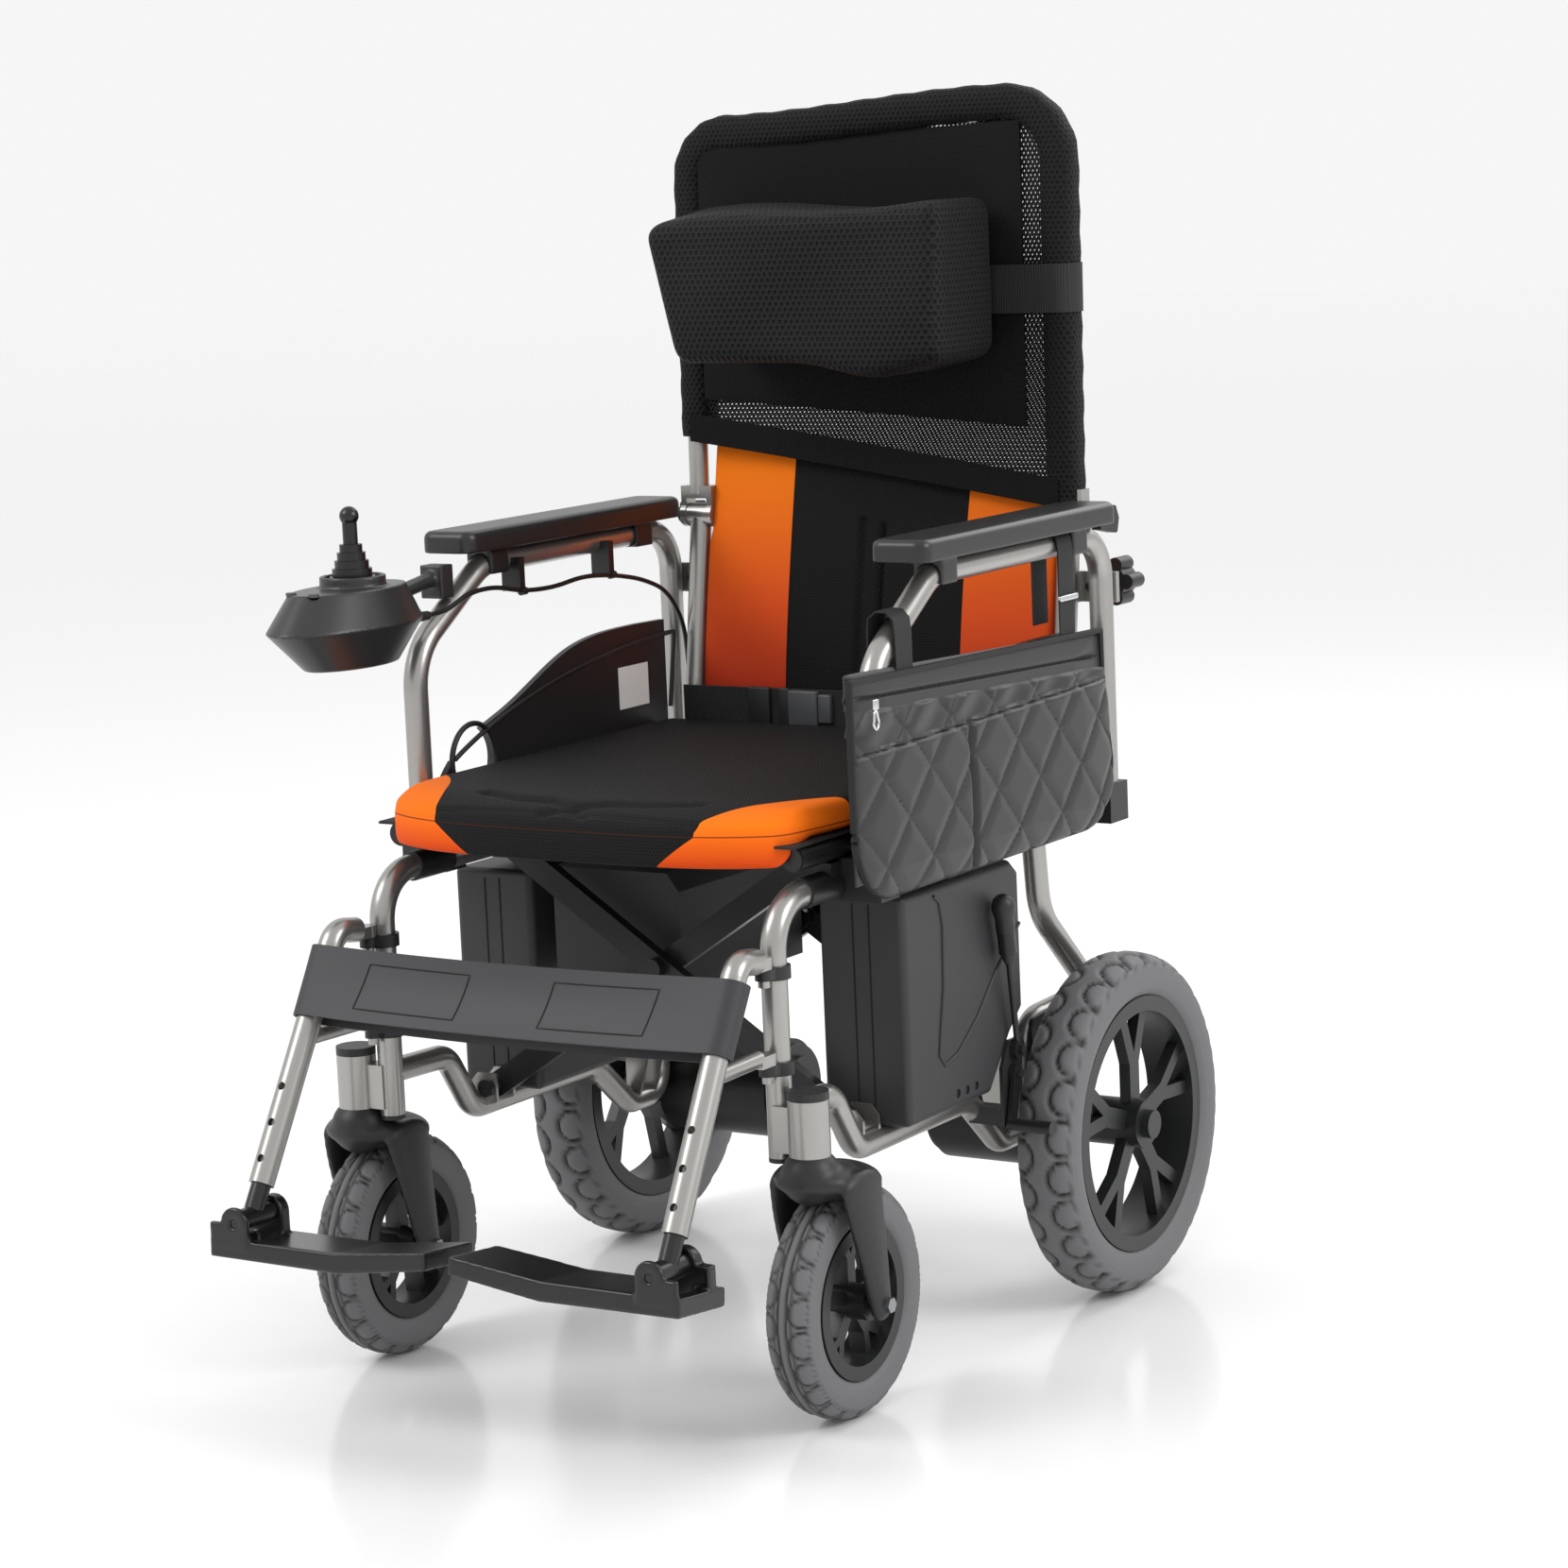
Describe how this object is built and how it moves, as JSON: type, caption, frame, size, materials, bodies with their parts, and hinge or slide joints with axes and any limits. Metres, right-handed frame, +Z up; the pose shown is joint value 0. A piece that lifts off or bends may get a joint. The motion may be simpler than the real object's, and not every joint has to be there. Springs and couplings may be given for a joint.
{
  "type": "power wheelchair",
  "caption": "Folding power wheelchair with scissor frame, side batteries, hub motors, joystick on the right armrest, tall mesh back, head pillow, calf strap and side bag.",
  "frame": {"origin": "middle of the bounding box's underside, on the floor", "axes": "+Z up, -Y the front, +X the user's left"},
  "size_m": [0.6, 0.848, 1.098],
  "materials": {
    "silver_tube": "silver grey metallic powder coat",
    "dark_steel": "black powder coat",
    "black_fittings": "black moulded plastic and blackened steel",
    "battery_plastic": "textured charcoal plastic",
    "motor_black": "black painted can",
    "tyre_rubber": "grey rubber",
    "rim_plastic": "black glass-filled nylon",
    "fork_plastic": "black glass-filled nylon",
    "armpad_plastic": "black integral-skin foam",
    "guard_plastic": "black moulded plastic",
    "footplate_plastic": "black glass-filled nylon",
    "black_tube": "black powder coat",
    "seat_fabric": "black spacer mesh with orange corners",
    "back_fabric": "orange and black spacer mesh",
    "mesh_fabric": "black open mesh",
    "pillow_fabric": "coarse black mesh",
    "webbing": "black nylon webbing",
    "strap_fabric": "dark grey woven nylon",
    "bag_fabric": "quilted black nylon",
    "zip_metal": "nickel plated",
    "knob_plastic": "black phenolic",
    "grip_plastic": "black plastic grip on a steel rod",
    "joystick_plastic": "black fine-textured ABS",
    "boot_rubber": "black rubber bellows",
    "button_rubber": "dark grey rubber",
    "lead_rubber": "black cable sheath"
  },
  "bodies": {
    "left_side": {"left_frame": "silver_tube", "left_frame_fittings": "black_fittings", "left_battery_case": "battery_plastic", "left_drive_motor": "motor_black", "back_pad": "back_fabric", "seat_belt": "webbing"},
    "right_side": {"right_frame": "silver_tube", "right_frame_fittings": "black_fittings", "right_battery_case": "battery_plastic", "right_drive_motor": "motor_black", "controller_box": "battery_plastic", "controller_lead": "lead_rubber"},
    "arm_a": {"cross_arm_a": "dark_steel"},
    "arm_b": {"cross_arm_b": "dark_steel"},
    "seat": {"seat_sling": "webbing", "seat_cushion": "seat_fabric"},
    "left_armrest": {"left_armrest_frame": "silver_tube", "left_armpad": "armpad_plastic", "left_skirt_guard": "guard_plastic", "side_bag": "bag_fabric"},
    "right_armrest": {"right_armrest_frame": "silver_tube", "right_armpad": "armpad_plastic", "right_skirt_guard": "guard_plastic", "joystick_housing": "joystick_plastic", "joystick_lead": "lead_rubber"},
    "left_legrest": {"left_legrest_frame": "silver_tube", "calf_strap": "strap_fabric"},
    "right_legrest": {"right_legrest_frame": "silver_tube"},
    "left_back": {"left_back_post": "silver_tube", "back_mesh_cover": "mesh_fabric", "headrest_pillow": "pillow_fabric", "headrest_strap": "webbing"},
    "right_back": {"right_back_post": "silver_tube"},
    "joystick_gimbal": {"joystick_gimbal": "black_fittings"},
    "joystick_stick": {"joystick_stick": "boot_rubber"},
    "power_button": {"power_button": "button_rubber"},
    "horn_button": {"horn_button": "button_rubber"},
    "zip_slider": {"zip_slider": "zip_metal"},
    "left_caster_swivel": {"left_caster_fork": "fork_plastic"},
    "left_caster_wheel": {"left_caster_tyre": "tyre_rubber", "left_caster_rim": "rim_plastic"},
    "left_drive_wheel": {"left_rear_tyre": "tyre_rubber", "left_rear_rim": "rim_plastic"},
    "left_foot_tube": {"left_foot_tube": "black_tube"},
    "left_footplate": {"left_footplate": "footplate_plastic"},
    "left_back_lever": {"left_back_lever": "black_fittings"},
    "left_star_knob": {"left_star_knob": "knob_plastic"},
    "left_brake_lever": {"left_brake_lever": "grip_plastic"},
    "left_brake_link": {"left_brake_link": "black_fittings"},
    "right_caster_swivel": {"right_caster_fork": "fork_plastic"},
    "right_caster_wheel": {"right_caster_tyre": "tyre_rubber", "right_caster_rim": "rim_plastic"},
    "right_drive_wheel": {"right_rear_tyre": "tyre_rubber", "right_rear_rim": "rim_plastic"},
    "right_foot_tube": {"right_foot_tube": "black_tube"},
    "right_footplate": {"right_footplate": "footplate_plastic"},
    "right_back_lever": {"right_back_lever": "black_fittings"},
    "right_star_knob": {"right_star_knob": "knob_plastic"},
    "right_brake_lever": {"right_brake_lever": "grip_plastic"},
    "right_brake_link": {"right_brake_link": "black_fittings"}
  },
  "joints": [
    {"name": "frame_fold", "type": "hinge", "parent": "left_side", "child": "arm_a", "pos_m": [0.187, -0.062, 0.226], "axis": [0, 1, 0], "range_deg": [0, 24], "deforming": ["seat_cushion", "seat_sling", "back_pad", "back_mesh_cover", "headrest_pillow", "headrest_strap", "calf_strap", "seat_belt"]},
    {"name": "arm_b_scissor", "type": "hinge", "parent": "arm_a", "child": "arm_b", "pos_m": [0, -0.062, 0.3485], "axis": [0, 1, 0], "range_deg": [-48, 0]},
    {"name": "right_side_fold", "type": "hinge", "parent": "arm_b", "child": "right_side", "pos_m": [-0.187, -0.062, 0.226], "axis": [0, 1, 0], "range_deg": [0, 24]},
    {"name": "seat_lift", "type": "slide", "parent": "left_side", "child": "seat", "axis": [0.4501, 0, 0.893], "range_m": [0, 0.14713]},
    {"name": "left_caster_swivel", "type": "hinge", "parent": "left_side", "child": "left_caster_swivel", "pos_m": [0.233, -0.216, 0.225], "axis": [0, 0, 1], "continuous": true},
    {"name": "left_caster_spin", "type": "hinge", "parent": "left_caster_swivel", "child": "left_caster_wheel", "pos_m": [0.233, -0.172, 0.1], "axis": [1, 0, 0], "continuous": true},
    {"name": "left_wheel_spin", "type": "hinge", "parent": "left_side", "child": "left_drive_wheel", "pos_m": [0.264, 0.268, 0.156], "axis": [1, 0, 0], "continuous": true},
    {"name": "left_armrest_lift", "type": "slide", "parent": "left_side", "child": "left_armrest", "axis": [0, 0, 1], "range_m": [0, 0.045]},
    {"name": "left_legrest_swing", "type": "hinge", "parent": "left_side", "child": "left_legrest", "pos_m": [0.203, -0.228, 0.34], "axis": [0, 0, 1], "range_deg": [0, 90], "deforming": ["calf_strap"]},
    {"name": "left_foot_slide", "type": "slide", "parent": "left_legrest", "child": "left_foot_tube", "axis": [0.0176, -0.5008, -0.8654], "range_m": [0, 0.05]},
    {"name": "left_footplate_flip", "type": "hinge", "parent": "left_foot_tube", "child": "left_footplate", "pos_m": [0.209, -0.403, 0.18], "axis": [0, 1, 0], "range_deg": [0, 91]},
    {"name": "left_back_fold", "type": "hinge", "parent": "left_side", "child": "left_back", "pos_m": [0.201, 0.325, 0.702], "axis": [-1, 0, 0], "range_deg": [0, 90], "deforming": ["back_pad"]},
    {"name": "left_back_lever_flip", "type": "hinge", "parent": "left_side", "child": "left_back_lever", "pos_m": [0.222, 0.325, 0.702], "axis": [-1, 0, 0], "range_deg": [0, 20]},
    {"name": "left_star_knob_turn", "type": "hinge", "parent": "left_side", "child": "left_star_knob", "pos_m": [0.218, 0.37, 0.64], "axis": [0, 1, 0], "continuous": true},
    {"name": "left_brake_pull", "type": "hinge", "parent": "left_side", "child": "left_brake_lever", "pos_m": [0.241, 0.121, 0.253], "axis": [-1, 0, 0], "range_deg": [0, 35]},
    {"name": "left_brake_press", "type": "hinge", "parent": "left_side", "child": "left_brake_link", "pos_m": [0.241, 0.116, 0.232], "axis": [1, 0, 0], "range_deg": [0, 5.6]},
    {"name": "right_caster_swivel", "type": "hinge", "parent": "right_side", "child": "right_caster_swivel", "pos_m": [-0.233, -0.216, 0.225], "axis": [0, 0, 1], "continuous": true},
    {"name": "right_caster_spin", "type": "hinge", "parent": "right_caster_swivel", "child": "right_caster_wheel", "pos_m": [-0.233, -0.172, 0.1], "axis": [1, 0, 0], "continuous": true},
    {"name": "right_wheel_spin", "type": "hinge", "parent": "right_side", "child": "right_drive_wheel", "pos_m": [-0.264, 0.268, 0.156], "axis": [1, 0, 0], "continuous": true},
    {"name": "right_armrest_lift", "type": "slide", "parent": "right_side", "child": "right_armrest", "axis": [0, 0, 1], "range_m": [0, 0.045]},
    {"name": "right_legrest_swing", "type": "hinge", "parent": "right_side", "child": "right_legrest", "pos_m": [-0.203, -0.228, 0.34], "axis": [0, 0, -1], "range_deg": [0, 90], "deforming": ["calf_strap"]},
    {"name": "right_foot_slide", "type": "slide", "parent": "right_legrest", "child": "right_foot_tube", "axis": [-0.0176, -0.5008, -0.8654], "range_m": [0, 0.05]},
    {"name": "right_footplate_flip", "type": "hinge", "parent": "right_foot_tube", "child": "right_footplate", "pos_m": [-0.209, -0.403, 0.18], "axis": [0, -1, 0], "range_deg": [0, 91]},
    {"name": "right_back_fold", "type": "hinge", "parent": "right_side", "child": "right_back", "pos_m": [-0.201, 0.325, 0.702], "axis": [-1, 0, 0], "range_deg": [0, 90]},
    {"name": "right_back_lever_flip", "type": "hinge", "parent": "right_side", "child": "right_back_lever", "pos_m": [-0.222, 0.325, 0.702], "axis": [-1, 0, 0], "range_deg": [0, 20]},
    {"name": "right_star_knob_turn", "type": "hinge", "parent": "right_side", "child": "right_star_knob", "pos_m": [-0.218, 0.37, 0.64], "axis": [0, 1, 0], "continuous": true},
    {"name": "right_brake_pull", "type": "hinge", "parent": "right_side", "child": "right_brake_lever", "pos_m": [-0.241, 0.121, 0.253], "axis": [-1, 0, 0], "range_deg": [0, 35]},
    {"name": "right_brake_press", "type": "hinge", "parent": "right_side", "child": "right_brake_link", "pos_m": [-0.241, 0.116, 0.232], "axis": [1, 0, 0], "range_deg": [0, 5.6]},
    {"name": "stick_forward", "type": "hinge", "parent": "right_armrest", "child": "joystick_gimbal", "pos_m": [-0.236, -0.178, 0.68], "axis": [1, 0, 0], "range_deg": [-12, 12], "stiffness_Nm_per_rad": 0.2},
    {"name": "stick_sideways", "type": "hinge", "parent": "joystick_gimbal", "child": "joystick_stick", "pos_m": [-0.236, -0.178, 0.68], "axis": [0, 1, 0], "range_deg": [-12, 12], "stiffness_Nm_per_rad": 0.2},
    {"name": "power_press", "type": "slide", "parent": "right_armrest", "child": "power_button", "axis": [0, 0, -1], "range_m": [0, 0.0015], "stiffness_N_per_m": 300, "springref_m": -0.002},
    {"name": "horn_press", "type": "slide", "parent": "right_armrest", "child": "horn_button", "axis": [0, 0, -1], "range_m": [0, 0.0015], "stiffness_N_per_m": 300, "springref_m": -0.002},
    {"name": "zip_slide", "type": "slide", "parent": "left_armrest", "child": "zip_slider", "axis": [0, 1, 0], "range_m": [0, 0.42]}
  ],
  "couplings": [
    {"joint": "arm_b_scissor", "follows": "frame_fold", "ratio": -2},
    {"joint": "right_side_fold", "follows": "frame_fold", "ratio": 1},
    {"joint": "seat_lift", "follows": "frame_fold", "m_per_rad": 0.35005},
    {"joint": "left_footplate_flip", "follows": "frame_fold", "ratio": 3.75},
    {"joint": "left_brake_press", "follows": "left_brake_pull", "ratio": 0.16},
    {"joint": "right_footplate_flip", "follows": "frame_fold", "ratio": 3.75},
    {"joint": "right_brake_press", "follows": "right_brake_pull", "ratio": 0.16},
    {"joint": "right_back_fold", "follows": "left_back_fold", "ratio": 1}
  ]
}
